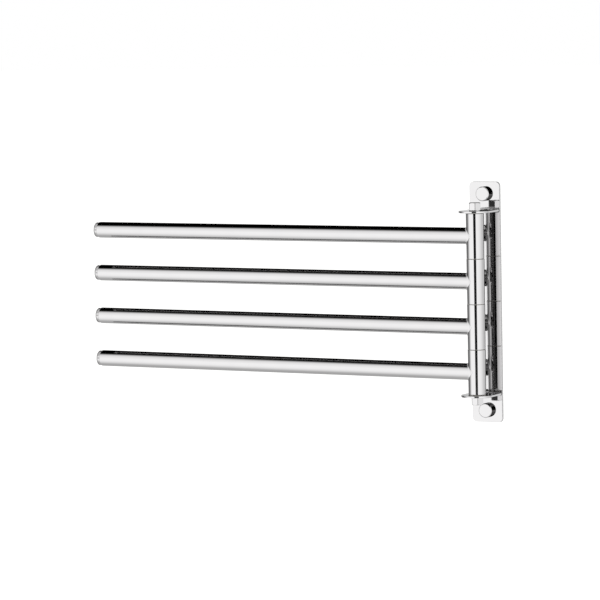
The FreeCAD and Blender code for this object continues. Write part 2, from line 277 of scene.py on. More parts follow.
def softened(profile, radii, steps=4):
    """The closed profile with an arc of the given radius at each corner."""
    count = len(profile)
    out = []
    for i, (point, radius) in enumerate(zip(profile, radii)):
        corner = Vector(point)
        before = Vector(profile[i - 1]) - corner
        after = Vector(profile[(i + 1) % count]) - corner
        if radius == 0 or before.length == 0 or after.length == 0:
            out.append(tuple(corner))
            continue
        before.normalize()
        after.normalize()
        half = before.angle(after) / 2
        reach = radius / math.tan(half)
        middle = corner + (before + after).normalized() * (radius / math.sin(half))
        first = corner + before * reach - middle
        turn = (math.pi - 2 * half) / steps
        side = 1 if first.x * after.y - first.y * after.x > 0 else -1
        for step in range(steps + 1):
            a = side * turn * step
            out.append((middle.x + first.x * math.cos(a) - first.y * math.sin(a),
                        middle.y + first.x * math.sin(a) + first.y * math.cos(a)))
    return out


def settled(mesh, name, sharp_degrees=35):
    """The mesh smooth where it is round and flat where it is flat."""
    shape = bmesh.new()
    shape.from_mesh(mesh)
    bmesh.ops.remove_doubles(shape, verts=shape.verts, dist=SAME_POINT)
    bmesh.ops.recalc_face_normals(shape, faces=shape.faces)
    for face in shape.faces:
        face.smooth = True
    shape.to_mesh(mesh)
    shape.free()
    mesh.set_sharp_from_angle(angle=math.radians(sharp_degrees))
    piece = bpy.data.objects.new(name, mesh)
    bpy.context.scene.collection.objects.link(piece)
    weigh = piece.modifiers.new("flat faces first", "WEIGHTED_NORMAL")
    weigh.weight = 80
    weigh.keep_sharp = True
    return as_plain_mesh(piece)


def as_plain_mesh(piece):
    """The piece with its modifiers worked into its mesh."""
    bpy.context.view_layer.update()
    graph = bpy.context.evaluated_depsgraph_get()
    mesh = bpy.data.meshes.new_from_object(piece.evaluated_get(graph),
                                           preserve_all_data_layers=True,
                                           depsgraph=graph)
    piece.modifiers.clear()
    piece.data = mesh
    return piece


def spun(name, profile, along, middle, around=96):
    """The closed profile spun round an axis through middle."""
    shape = bmesh.new()
    rings = []
    axis = Vector(along).normalized()
    side = axis.orthogonal().normalized()
    third = axis.cross(side)
    for radius, height in profile:
        ring = []
        for i in range(around if radius > ON_AXIS else 1):
            a = 2 * math.pi * i / around
            offset = side * math.cos(a) + third * math.sin(a)
            ring.append(shape.verts.new(Vector(middle) + axis * height
                                        + offset * radius))
        rings.append(ring)
    for one, two in zip(rings, rings[1:] + rings[:1]):
        for i in range(around):
            corners = [one[i % len(one)], one[(i + 1) % len(one)],
                       two[(i + 1) % len(two)], two[i % len(two)]]
            corners = list(dict.fromkeys(corners))
            if len(corners) > 2:
                shape.faces.new(corners)
    mesh = bpy.data.meshes.new(name)
    shape.to_mesh(mesh)
    shape.free()
    return settled(mesh, name)


def finished(piece, material, slot, body, *nodes):
    """Gives the piece its material, body and the nodes it replaces; slot is not
    used.
    """
    piece.data.materials.clear()
    piece.data.materials.append(material)
    for face in piece.data.polygons:
        face.material_index = 0
    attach(piece, body)
    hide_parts(*nodes)
    print(piece.name, "has", len(piece.data.polygons), "faces")


# %% [markdown]
# ## The barrels
# Each arm ends in a barrel, a short piece of thicker tube that turns on the
# post.  It is cut square and its rim is only broken, so the four barrels
# read as one column with three fine seams.  The rims get an arc of
# 0.12 mm, small enough that a seam stays a hairline.

# %% Make the four barrels
BARREL_BORE = BARREL_RADIUS - 1.5 * MM
BROKEN_RIM = 0.12 * MM
for k in ARMS:
    low, high = BARREL_BOX[k]
    height = high.z - low.z
    wall = [(BARREL_BORE, 0), (BARREL_RADIUS, 0), (BARREL_RADIUS, height),
            (BARREL_BORE, height)]
    profile = softened(wall, [BROKEN_RIM] * 4)
    barrel = spun(f"barrel_polished_{k}", profile, (0, 0, 1),
                  (0, POST_Y, low.z), around=128)
    finished(barrel, polished_barrel, "polished_stainless", f"arm_{k}",
             f"barrel_{k}")

# %% [markdown]
# ## The arms
# An arm is a straight drawn tube whose end is coped, cut to the curve of the
# barrel, and welded on; the bead is ground to a small hollow before
# polishing.  The shape follows a rule, so Geometry Nodes make it: a flat grid
# is rolled into a tube, its first edge is pushed onto the barrel, and next
# to it the radius swells by the size of the weld.  Changing one input gives
# another arm.

# %% The node tree that rolls a coped tube
POINTS_ALONG = 56
POINTS_ROUND = 113


def socket_on(tree, name, kind, value=None):
    socket = tree.interface.new_socket(name=name, in_out="INPUT",
                                       socket_type=kind)
    if value is not None:
        socket.default_value = value


def math_node(tree, operation, first, second=0.0, third=0.0):
    return add_node(tree, "ShaderNodeMath", {0: first, 1: second, 2: third},
                    operation=operation).outputs[0]


arm_tree = bpy.data.node_groups.new("coped_arm_tube", "GeometryNodeTree")
for name in ("Reach", "Tube radius", "Barrel radius", "Weld", "Height", "Post"):
    socket_on(arm_tree, name, "NodeSocketFloat", 0.01)
socket_on(arm_tree, "Finish", "NodeSocketMaterial")
arm_tree.interface.new_socket(name="Tube", in_out="OUTPUT",
                              socket_type="NodeSocketGeometry")
sizes = add_node(arm_tree, "NodeGroupInput").outputs
grid = add_node(arm_tree, "GeometryNodeMeshGrid",
                {"Size X": 1.0, "Size Y": 1.0, "Vertices X": POINTS_ALONG,
                 "Vertices Y": POINTS_ROUND}).outputs["Mesh"]
spot = add_node(arm_tree, "ShaderNodeSeparateXYZ",
                {0: add_node(arm_tree, "GeometryNodeInputPosition").outputs[0]})
share = math_node(arm_tree, "ADD", spot.outputs["X"], 0.5)
turn = math_node(arm_tree, "MULTIPLY",
                 math_node(arm_tree, "ADD", spot.outputs["Y"], 0.5), math.tau)
print("arm tree has", len(arm_tree.nodes), "nodes so far")

# %% The rule for a point of the tube
reach = sizes["Reach"]
weld = sizes["Weld"]
# the third power crowds the points towards the barrel, where the weld is
run = math_node(arm_tree, "MULTIPLY", math_node(arm_tree, "POWER", share, 3.0),
                reach)
short = math_node(arm_tree, "SUBTRACT", weld,
                  math_node(arm_tree, "MINIMUM", run, weld))
hollow = math_node(arm_tree, "SQRT", math_node(
    arm_tree, "MAXIMUM",
    math_node(arm_tree, "SUBTRACT", math_node(arm_tree, "MULTIPLY", weld, weld),
              math_node(arm_tree, "MULTIPLY", short, short)), 0.0))
bead = math_node(arm_tree, "SUBTRACT", weld, hollow)
# the bead is full above and below and half as wide at the sides, where the
# tube is nearly as wide as the barrel
sideways = math_node(arm_tree, "MULTIPLY",
                     math_node(arm_tree, "MULTIPLY_ADD", bead, 0.5,
                               sizes["Tube radius"]),
                     math_node(arm_tree, "COSINE", turn))
upwards = math_node(arm_tree, "MULTIPLY",
                    math_node(arm_tree, "ADD", bead, sizes["Tube radius"]),
                    math_node(arm_tree, "SINE", turn))
barrel_squared = math_node(arm_tree, "MULTIPLY", sizes["Barrel radius"],
                           sizes["Barrel radius"])
cope = math_node(arm_tree, "SQRT", math_node(
    arm_tree, "MAXIMUM",
    math_node(arm_tree, "SUBTRACT", barrel_squared,
              math_node(arm_tree, "MULTIPLY", sideways, sideways)), 0.0))
left_over = math_node(arm_tree, "SUBTRACT", 1.0,
                      math_node(arm_tree, "DIVIDE", cope, reach))
outward = math_node(arm_tree, "ADD", cope,
                    math_node(arm_tree, "MULTIPLY", run, left_over))
where = add_node(arm_tree, "ShaderNodeCombineXYZ", {
    "X": math_node(arm_tree, "MULTIPLY", outward, -1.0),
    "Y": math_node(arm_tree, "ADD", sideways, sizes["Post"]),
    "Z": math_node(arm_tree, "ADD", upwards, sizes["Height"])}).outputs[0]
rolled = add_node(arm_tree, "GeometryNodeSetPosition",
                  {"Geometry": grid, "Position": where}).outputs[0]
closed = add_node(arm_tree, "GeometryNodeMergeByDistance",
                  {"Geometry": rolled, "Distance": 0.000001}).outputs[0]
real = add_node(arm_tree, "GeometryNodeRealizeInstances",
                {"Geometry": closed}).outputs[0]
painted = add_node(arm_tree, "GeometryNodeSetMaterial",
                   {"Geometry": real, "Material": sizes["Finish"]}).outputs[0]
add_node(arm_tree, "NodeGroupOutput", {"Tube": painted})
print("arm tree has", len(arm_tree.nodes), "nodes")


# %% Run the tree once for each arm
def grown(name, tree, values, start_mesh=None):
    """An object whose mesh is what the tree gives with these values."""
    piece = bpy.data.objects.new(name, start_mesh or bpy.data.meshes.new(name))
    grow = piece.modifiers.new("rule", "NODES")
    grow.node_group = tree
    keys = {item.name: item.identifier for item in tree.interface.items_tree
            if item.item_type == "SOCKET" and item.in_out == "INPUT"}
    for label, value in values.items():
        grow[keys[label]] = value
    bpy.context.scene.collection.objects.link(piece)
    return piece


ARM_WELD = 1.3 * MM
# the coped edge lies this deep in the barrel, so no gap can show
SUNK = 0.05 * MM
TUBE_WALL = 1.0 * MM
MIDWAY = -0.2
for k in ARMS:
    arm = grown(f"arm_polished_{k}", arm_tree, {
        "Reach": -TUBE_END, "Tube radius": TUBE_RADIUS,
        "Barrel radius": BARREL_RADIUS - SUNK, "Weld": ARM_WELD,
        "Height": ARM_HEIGHT[k], "Post": POST_Y, "Finish": polished_tube})
    as_plain_mesh(arm)
    skin = bmesh.new()
    skin.from_mesh(arm.data)
    bmesh.ops.recalc_face_normals(skin, faces=skin.faces)
    # an open tube can come out with its inside facing out: a face half way
    # along tells which it is
    middle_face = min(skin.faces,
                      key=lambda f: abs(f.calc_center_median().x - MIDWAY))
    out = (middle_face.calc_center_median()
           - Vector((MIDWAY, POST_Y, ARM_HEIGHT[k])))
    if middle_face.normal.dot(out) < 0:
        bmesh.ops.reverse_faces(skin, faces=skin.faces)
    for face in skin.faces:
        face.smooth = True
    skin.to_mesh(arm.data)
    skin.free()
    wall = arm.modifiers.new("wall", "SOLIDIFY")
    wall.thickness = TUBE_WALL
    wall.offset = -1
    as_plain_mesh(arm)
    arm.data.set_sharp_from_angle(angle=math.radians(50))
    finished(arm, polished_tube, "polished_stainless", f"arm_{k}",
             f"arm_tube_{k}")

# %% [markdown]
# ## The end caps
# A turned cap closes each tube: a plug goes inside and a head of the tube's
# own width shows.  Its face is flat with a narrow round of 0.5 mm at the
# edge, as the photograph has it.  The joint is a hairline, a round of
# 0.06 mm, just enough to break the reflection.

# %% Make the four caps
HEAD = abs(CAP_END - TUBE_END)
CAP_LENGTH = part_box("end_cap_1")[1].x - CAP_END
PRESSED_IN = 0.02 * MM     # the gap that stands for a press fit
PLUG_RADIUS = TUBE_RADIUS - TUBE_WALL - PRESSED_IN
CAP_EDGE = 0.5 * MM
HAIRLINE = 0.06 * MM
outline = [(0, 0), (TUBE_RADIUS, 0), (TUBE_RADIUS, HEAD), (PLUG_RADIUS, HEAD),
           (PLUG_RADIUS, CAP_LENGTH), (0, CAP_LENGTH)]
profile = softened(outline, [0, CAP_EDGE, HAIRLINE, 0, CAP_EDGE, 0], steps=10)
for k in ARMS:
    cap = spun(f"end_cap_polished_{k}", profile, (1, 0, 0),
               (CAP_END, POST_Y, ARM_HEIGHT[k]), around=112)
    finished(cap, polished_tube, "polished_stainless", f"arm_{k}",
             f"end_cap_{k}")

# %% [markdown]
# ## The wall plate and the two ears
# The plate is cut from flat bar with rounded corners and two screw holes,
# and an ear is a tongue with a half-round front and a hole for the post.
# A flat blank with holes is what a 2D curve makes: one spline for the
# outline, one for each hole, filled and extruded, with a round bevel for the
# edge that the polishing wheel leaves.  It becomes a mesh, and the mesh is
# then turned and put in its place.

# %% Cut a flat blank from its outline
def blank(name, outlines, thickness, edge, to_place):
    curve = bpy.data.curves.new(name, "CURVE")
    curve.dimensions = "2D"
    curve.fill_mode = "BOTH"
    curve.extrude = thickness / 2 - edge
    curve.bevel_depth = edge
    curve.bevel_resolution = 3
    curve.offset = -edge
    for points in outlines:
        spline = curve.splines.new("POLY")
        spline.points.add(len(points) - 1)
        for point, (x, y) in zip(spline.points, points):
            point.co = (x, y, 0, 1)
        spline.use_cyclic_u = True
    holder = bpy.data.objects.new(name + "_outline", curve)
    bpy.context.scene.collection.objects.link(holder)
    bpy.context.view_layer.update()
    graph = bpy.context.evaluated_depsgraph_get()
    mesh = bpy.data.meshes.new_from_object(holder.evaluated_get(graph))
    bpy.data.objects.remove(holder)
    mesh.transform(to_place)
    return settled(mesh, name)


def arc(middle, radius, first, last, steps):
    """Points on an arc, angles in degrees, both ends included."""
    points = []
    for i in range(steps + 1):
        a = math.radians(first + (last - first) * i / steps)
        points.append((middle[0] + radius * math.cos(a),
                       middle[1] + radius * math.sin(a)))
    return points


def rounded_bar(width, height, corner):
    across, up = width / 2 - corner, height / 2 - corner
    return (arc((across, up), corner, 0, 90, 12)
            + arc((-across, up), corner, 90, 180, 12)
            + arc((-across, -up), corner, 180, 270, 12)
            + arc((across, -up), corner, 270, 360, 12))


# %% Make the plate and the ears
PLATE_CORNER = 4.5 * MM
PLATE_EDGE = 0.25 * MM
EAR_EDGE = 0.3 * MM
SCREW_HOLE = 2.5 * MM
POST_HOLE = 3.3 * MM


def hole(middle, radius):
    """A hole's outline, which runs the other way round."""
    return arc(middle, radius, 360, 0, 40)[:-1]


seat_low, seat_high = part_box("upper_cover_seat")
SCREW_HEIGHT = (seat_low.z + seat_high.z) / 2
plate_width = plate_high.x - plate_low.x
plate_height = plate_high.z - plate_low.z
plate_thickness = plate_high.y - plate_low.y
upright = Matrix.Rotation(math.radians(90), 4, "X")
plate = blank("wall_plate_polished",
              [rounded_bar(plate_width, plate_height, PLATE_CORNER),
               hole((0, SCREW_HEIGHT), SCREW_HOLE),
               hole((0, -SCREW_HEIGHT), SCREW_HOLE)],
              plate_thickness, PLATE_EDGE,
              Matrix.Translation((0, (plate_low.y + plate_high.y) / 2, 0))
              @ upright)
finished(plate, polished_plate, "polished_stainless", "wall_bracket",
         "wall_plate")
for side in ("upper", "lower"):
    low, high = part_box(f"{side}_ear")
    half = (high.x - low.x) / 2
    tongue = ([(-half, high.y)] + arc((0, POST_Y), half, 180, 360, 64)
              + [(half, high.y)])
    ear = blank(f"{side}_ear_polished",
                [tongue, hole((0, POST_Y), POST_HOLE)],
                high.z - low.z, EAR_EDGE,
                Matrix.Translation((0, 0, (low.z + high.z) / 2)))
    finished(ear, polished_tube, "polished_stainless", "wall_bracket",
             f"{side}_ear")

# %% [markdown]
# ## The welds between ears and plate
# An ear is welded to the plate from above and from below, and the weld is
# ground to a hollow before polishing.  It is a small wedge with a hollow
# face, one on each side of each ear.  Mirror steel turns such a hollow into a
# dark line along the root of the ear, which is why it is worth making.

# %% Sweep the hollow wedges across the ears
WELD = 0.9 * MM
# the weld stops this far from the sides of the ear, short of its round edge
WELD_STOPS = 0.35 * MM
wedge = ([(0, 0), (-WELD, 0)]
         + arc((-WELD, WELD), WELD, 270, 360, 10)[1:])
for side in ("upper", "lower"):
    low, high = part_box(f"{side}_ear")
    half = (high.x - low.x) / 2 - WELD_STOPS
    shape = bmesh.new()
    for face_z, away in ((high.z, 1), (low.z, -1)):
        ends = [[shape.verts.new((x, high.y + y, face_z + away * z))
                 for y, z in wedge] for x in (-half, half)]
        for i in range(len(wedge)):
            j = (i + 1) % len(wedge)
            shape.faces.new([ends[0][i], ends[0][j], ends[1][j], ends[1][i]])
        for end in ends:
            shape.faces.new(end)
    mesh = bpy.data.meshes.new("ear_weld")
    shape.to_mesh(mesh)
    shape.free()
    weld_piece = settled(mesh, f"{side}_ear_weld")
    finished(weld_piece, polished_tube, "polished_stainless", "wall_bracket")

# %% [markdown]
# ## The lock nuts
# A hexagon nut is a prism whose corners a lathe has cut back with a cone, so
# each face ends in a curved line.  The height of the cone at any point
# follows from the distance to the axis, and the mesh is laid out in rings by
# that rule.  Polishing also breaks the six upright corners to narrow flats.
# There is one nut at each end of the post, and Geometry Nodes put copies of
# a piece at even steps: the same small tree places the nuts, the five
# washers and the wall screws.

# %% Lay out one nut
def nut_mesh(flats, height, bore, chamfer_to):
    shape = bmesh.new()
    slope = math.tan(math.radians(38))
    # eight points on each face; the last ones stop two degrees before the
    # corner, so each corner is broken by a flat less than half a millimetre wide
    turns = [math.radians(60 * side + 30 + j) for side in range(6)
             for j in (-28, -20, -12, -4, 4, 12, 20, 28)]
    around = len(turns)
    rings = []
    for on_top in (False, True):
        rows = []
        # at the bore, where the chamfer begins, and on the face of the hexagon
        for which in range(3):
            row = []
            for a in turns:
                inside = (a % (math.pi / 3)) - math.pi / 6
                full = flats / 2 / math.cos(inside)
                r = (bore, min(full, chamfer_to), full)[which]
                drop = max(0.0, r - chamfer_to) * slope
                z = height - drop if on_top else drop
                row.append(shape.verts.new((r * math.cos(a), r * math.sin(a), z)))
            rows.append(row)
        rings += rows[::-1] if on_top else rows
    for one, two in zip(rings, rings[1:] + rings[:1]):
        for i in range(around):
            j = (i + 1) % around
            shape.faces.new([one[i], one[j], two[j], two[i]])
    mesh = bpy.data.meshes.new("nut")
    shape.to_mesh(mesh)
    shape.free()
    return mesh


nut_low, nut_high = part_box("lock_nuts")
EAR_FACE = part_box("upper_ear")[1].z
NUT_HEIGHT = nut_high.z - EAR_FACE
# the corners lie along x, so the box is as deep as the nut is over its flats
NUT_FLATS = nut_high.y - nut_low.y
print("nut, mm: flats", round(NUT_FLATS / MM, 2),
      "height", round(NUT_HEIGHT / MM, 2))

# %% The tree that repeats a piece along the post
repeat_tree = bpy.data.node_groups.new("repeat_along_post", "GeometryNodeTree")
socket_on(repeat_tree, "One piece", "NodeSocketGeometry")
socket_on(repeat_tree, "How many", "NodeSocketInt", 2)
socket_on(repeat_tree, "First", "NodeSocketVector")
socket_on(repeat_tree, "Step", "NodeSocketVector")
socket_on(repeat_tree, "Turn each", "NodeSocketFloat", 0.0)
socket_on(repeat_tree, "Finish", "NodeSocketMaterial")
repeat_tree.interface.new_socket(name="Pieces", in_out="OUTPUT",
                                 socket_type="NodeSocketGeometry")
given = add_node(repeat_tree, "NodeGroupInput").outputs
spots = add_node(repeat_tree, "GeometryNodeMeshLine",
                 {"Count": given["How many"], "Start Location": given["First"],
                  "Offset": given["Step"]}).outputs[0]
number = add_node(repeat_tree, "GeometryNodeInputIndex").outputs[0]
tilt = add_node(repeat_tree, "ShaderNodeCombineXYZ",
                {"X": math_node(repeat_tree, "MULTIPLY", number,
                                given["Turn each"])}).outputs[0]
copies = add_node(repeat_tree, "GeometryNodeInstanceOnPoints",
                  {"Points": spots, "Instance": given["One piece"],
                   "Rotation": tilt}).outputs[0]
solid = add_node(repeat_tree, "GeometryNodeRealizeInstances",
                 {"Geometry": copies}).outputs[0]
add_node(repeat_tree, "NodeGroupOutput",
         {"Pieces": add_node(repeat_tree, "GeometryNodeSetMaterial",
                             {"Geometry": solid,
                              "Material": given["Finish"]}).outputs[0]})
print("repeat tree has", len(repeat_tree.nodes), "nodes")


# %% Repeat the nuts and the washers
def repeated(name, mesh, material, count, first, step, turn_each=0.0, sharp=35):
    piece = grown(name, repeat_tree, {
        "How many": count, "First": first, "Step": step,
        "Turn each": turn_each, "Finish": material}, mesh)
    as_plain_mesh(piece)
    mesh = piece.data
    bpy.data.objects.remove(piece)
    return settled(mesh, name, sharp)


NUT_BORE = 3.2 * MM
# the cone of the chamfer begins at this share of the way to the flats
CONE_BEGINS = 0.97
nut = nut_mesh(NUT_FLATS, NUT_HEIGHT, NUT_BORE, NUT_FLATS / 2 * CONE_BEGINS)
# the second nut hangs upside down: it is turned half round
nuts = repeated("lock_nuts_polished", nut, polished_barrel, 2,
                (0, POST_Y, EAR_FACE), (0, 0, -2 * EAR_FACE), math.pi, sharp=20)
finished(nuts, polished_barrel, "polished_stainless", "wall_bracket",
         "lock_nuts")
washer_low, washer_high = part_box("thrust_washers")
washer_radius = (washer_high.x - washer_low.x) / 2
WASHER_BORE = 4.08 * MM
WASHER_THICK = 0.5 * MM
outline = [(WASHER_BORE, 0), (washer_radius, 0), (washer_radius, WASHER_THICK),
           (WASHER_BORE, WASHER_THICK)]
washer_object = spun("one_washer",
                     softened(outline, [0, BROKEN_RIM, BROKEN_RIM, 0]),
                     (0, 0, 1), (0, 0, 0))
washer_mesh = washer_object.data
bpy.data.objects.remove(washer_object)
washer_step = (washer_high.z - washer_low.z - WASHER_THICK) / 4
washers = repeated("thrust_washers_nylon", washer_mesh, natural_nylon, 5,
                   (0, POST_Y, washer_low.z), (0, 0, washer_step))
finished(washers, natural_nylon, "nylon", "wall_bracket", "thrust_washers")

# %% [markdown]
# ## The screw covers
# Each wall screw is hidden by a pressed cup that snaps over a seat.  It is
# thin sheet, so it is hollow, and its front edge is rolled to a narrow
# slope that draws a fine ring round the flat face.

# %% Make the two covers
COVER_WALL = 1.2 * MM
COVER_SLOPE = 0.7 * MM
for side, height in (("upper", SCREW_HEIGHT), ("lower", -SCREW_HEIGHT)):
    low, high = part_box(f"{side}_screw_cover")
    r = (high.x - low.x) / 2
    deep = high.y - low.y
    cup = [(0, deep), (r - COVER_SLOPE, deep), (r, deep - COVER_SLOPE), (r, 0),
           (r - COVER_WALL, 0), (r - COVER_WALL, deep - COVER_WALL),
           (0, deep - COVER_WALL)]
    soft = [0, 0.25 * MM, 0.25 * MM, 0.1 * MM, 0.1 * MM, 0.3 * MM, 0]
    cover = spun(f"{side}_screw_cover_polished", softened(cup, soft),
                 (0, -1, 0), (0, high.y, height))
    finished(cover, polished_tube, "polished_stainless", "wall_bracket",
             f"{side}_screw_cover")

# %% [markdown]
# ## The wall screws
# The screws have a pan head with a cross recess and a thread that runs to a
# point.  The head and the core are turned shapes; the recess is cut out of
# the head with a Boolean, because it is a real pocket; and the thread is a
# ridge that follows a spiral, which a small Geometry Nodes tree sweeps, with
# a radius that runs out at the point.

# %% The tree that winds a thread
thread_tree = bpy.data.node_groups.new("screw_thread", "GeometryNodeTree")
for name in ("Core radius", "Depth", "Pitch", "Length", "Point"):
    socket_on(thread_tree, name, "NodeSocketFloat", 0.001)
thread_tree.interface.new_socket(name="Thread", in_out="OUTPUT",
                                 socket_type="NodeSocketGeometry")
wound = add_node(thread_tree, "NodeGroupInput").outputs
spiral = add_node(thread_tree, "GeometryNodeCurveSpiral", {
    "Resolution": 20,
    "Rotations": math_node(thread_tree, "DIVIDE", wound["Length"], wound["Pitch"]),
    "Start Radius": wound["Core radius"], "End Radius": wound["Core radius"],
    "Height": wound["Length"]}).outputs[0]
spot = add_node(thread_tree, "GeometryNodeInputPosition").outputs[0]
parts = add_node(thread_tree, "ShaderNodeSeparateXYZ", {0: spot}).outputs
to_end = math_node(thread_tree, "SUBTRACT", wound["Length"], parts["Z"])
# towards the point the spiral shrinks, but never quite to nothing
shrink = math_node(thread_tree, "MINIMUM",
                   math_node(thread_tree, "DIVIDE",
                             math_node(thread_tree, "ADD", to_end, 0.0002),
                             wound["Point"]), 1.0)
tapered = add_node(thread_tree, "GeometryNodeSetPosition", {
    "Geometry": spiral,
    "Position": add_node(thread_tree, "ShaderNodeCombineXYZ", {
        "X": math_node(thread_tree, "MULTIPLY", parts["X"], shrink),
        "Y": math_node(thread_tree, "MULTIPLY", parts["Y"], shrink),
        "Z": parts["Z"]}).outputs[0]}).outputs[0]
ridge = add_node(thread_tree, "GeometryNodeCurvePrimitiveCircle",
                 {"Resolution": 3, "Radius": wound["Depth"]}).outputs[0]
swept = add_node(thread_tree, "GeometryNodeCurveToMesh",
                 {"Curve": tapered, "Profile Curve": ridge,
                  "Fill Caps": True}).outputs[0]
real_thread = add_node(thread_tree, "GeometryNodeRealizeInstances",
                       {"Geometry": swept}).outputs[0]
add_node(thread_tree, "NodeGroupOutput",
         {"Thread": add_node(thread_tree, "GeometryNodeSetMaterial",
                             {"Geometry": real_thread,
                              "Material": screw_steel}).outputs[0]})
print("thread tree has", len(thread_tree.nodes), "nodes")

# %% Turn the head and the core, then cut the cross recess
# the cross recess: half its widths and twice its depth, in mm
CROSS_NARROW = 0.55
CROSS_WIDE = 2.1
CROSS_DEEP = 2.6
# the recess narrows to this share of its width at its floor
CROSS_TAPER = 0.55
screw_low, screw_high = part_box("wall_screws")
HEAD_FACE = screw_low.y
SHANK = screw_high.y - HEAD_FACE
core = [(0, 0), (2.3 * MM, 0), (3.8 * MM, 0.95 * MM), (3.8 * MM, 1.9 * MM),
        (1.7 * MM, 1.9 * MM), (1.55 * MM, SHANK - 5 * MM),
        (0.12 * MM, SHANK), (0, SHANK)]
screw = spun("one_screw",
             softened(core, [0, 0.6 * MM, 0.4 * MM, 0.15 * MM, 0.2 * MM, 0, 0, 0]),
             (0, 1, 0), (0, HEAD_FACE, 0), around=48)
cutter_shape = bmesh.new()
for across, along in ((CROSS_NARROW, CROSS_WIDE), (CROSS_WIDE, CROSS_NARROW)):
    bmesh.ops.create_cube(cutter_shape, size=1.0, matrix=Matrix.Translation(
        (0, HEAD_FACE, 0)) @ Matrix.Diagonal(
        (across * 2 * MM, CROSS_DEEP * MM, along * 2 * MM, 1)))
for vert in cutter_shape.verts:
    if vert.co.y > HEAD_FACE:
        vert.co.x *= CROSS_TAPER
        vert.co.z *= CROSS_TAPER
cutter_mesh = bpy.data.meshes.new("cross")
cutter_shape.to_mesh(cutter_mesh)
cutter_shape.free()
cutter = bpy.data.objects.new("cross", cutter_mesh)
bpy.context.scene.collection.objects.link(cutter)
cut = screw.modifiers.new("recess", "BOOLEAN")
cut.object = cutter
cut.operation = "DIFFERENCE"
cut.solver = "EXACT"
cut.use_self = True
as_plain_mesh(screw)
bpy.data.objects.remove(cutter)
print("one screw has", len(screw.data.polygons), "faces with its recess")

# %% Wind the thread onto the screw and set out both screws
THREAD_LENGTH = SHANK - 9 * MM
BARE_POINT = 0.3 * MM
thread = grown("one_thread", thread_tree, {
    "Core radius": 1.5 * MM, "Depth": 0.5 * MM, "Pitch": 1.8 * MM,
    "Length": THREAD_LENGTH, "Point": 5 * MM})
as_plain_mesh(thread)
thread_start = screw_high.y - THREAD_LENGTH - BARE_POINT
thread.data.transform(Matrix.Translation((0, thread_start, 0))
                      @ Matrix.Rotation(math.radians(-90), 4, "X"))
joined = bmesh.new()
joined.from_mesh(screw.data)
joined.from_mesh(thread.data)
screw_mesh = bpy.data.meshes.new("screw_with_thread")
joined.to_mesh(screw_mesh)
joined.free()
for used in (screw, thread):
    bpy.data.objects.remove(used)
screws = repeated("wall_screws_threaded", screw_mesh, screw_steel, 2,
                  (0, 0, -SCREW_HEIGHT), (0, 0, 2 * SCREW_HEIGHT))
finished(screws, screw_steel, "screw_steel", "wall_bracket", "wall_screws")

# %% [markdown]
# ## The nodes that stay as they are
# The post, the bushes and the cover seats have their right shape in the CAD
# model, so they only get their materials.

# %% Give the kept nodes their materials
def dressed(node, material):
    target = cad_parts[node]
    target.data.materials.clear()
    target.data.materials.append(material)
    for face in target.data.polygons:
        face.material_index = 0


dressed("pivot_shaft", post_steel)
for node in ("upper_cover_seat", "lower_cover_seat"):
    dressed(node, natural_nylon)
for k in ARMS:
    dressed(f"upper_bush_{k}", natural_nylon)
    dressed(f"lower_bush_{k}", natural_nylon)
print("kept nodes:", [n for n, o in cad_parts.items() if not o.hide_render])

# %% [markdown]
# ## The floor
# The towel bar hangs over a plain pale floor that lies half a metre below
# its middle.  The camera sees the floor a little brighter than its light, so
# it runs out into white, and the shadow under the object stays.

# %% Lay the floor
FLOOR_Z = -0.5
FAR = 40
floor_mesh = bpy.data.meshes.new("floor")
floor_mesh.from_pydata([(x, y, FLOOR_Z) for x, y in
                        ((-FAR, -FAR), (FAR, -FAR), (FAR, FAR), (-FAR, FAR))],
                       [], [(0, 1, 2, 3)])
floor = bpy.data.objects.new("floor", floor_mesh)
bpy.context.scene.collection.objects.link(floor)
floor_paint = bpy.data.materials.new("painted_board_matt_white")
floor_paint.use_nodes = True
tree = floor_paint.node_tree
tree.nodes.clear()
seen = add_node(tree, "ShaderNodeLightPath").outputs["Is Camera Ray"]
matt = add_node(tree, "ShaderNodeBsdfDiffuse", {"Color": linear("#EDEDEB")})
lift = add_node(tree, "ShaderNodeEmission",
                {"Color": (1, 1, 1, 1),
                 "Strength": math_node(tree, "MULTIPLY", seen, 0.55)})
both = add_node(tree, "ShaderNodeAddShader",
                {0: matt.outputs[0], 1: lift.outputs[0]})
add_node(tree, "ShaderNodeOutputMaterial", {"Surface": both.outputs[0]})
floor_mesh.materials.append(floor_paint)
floor.visible_glossy = False
print("floor at z =", FLOOR_Z / MM, "mm")

# %% [markdown]
# ## What the polished steel mirrors
# Mirror steel shows its surroundings and nothing else, so a photographer
# builds them round it.  Here the world holds them by direction.  White cloth
# hangs in front and is darkest overhead, where the arms mirror it as a black
# band; straight above and towards both sides there is pale ceiling.  At the
# height of the object the cloth has a gap for the lens, which the barrels
# show as a black line, and it turns grey at the left.  Light that
# has met two or more pieces is weakened, as it is between real pieces that
# stand close together in front of a dark room.  The world is plain white to
# the camera and a plain soft light to all that is not a mirror.  The numbers
# were found by following the light from the camera over the pieces and out.

# %% Brightness by direction
world = bpy.data.worlds.new("photo_tent")
bpy.context.scene.world = world
world.use_nodes = True
tree = world.node_tree
tree.nodes.clear()
direction = add_node(tree, "ShaderNodeTexCoord").outputs["Generated"]
way = add_node(tree, "ShaderNodeSeparateXYZ", {0: direction}).outputs


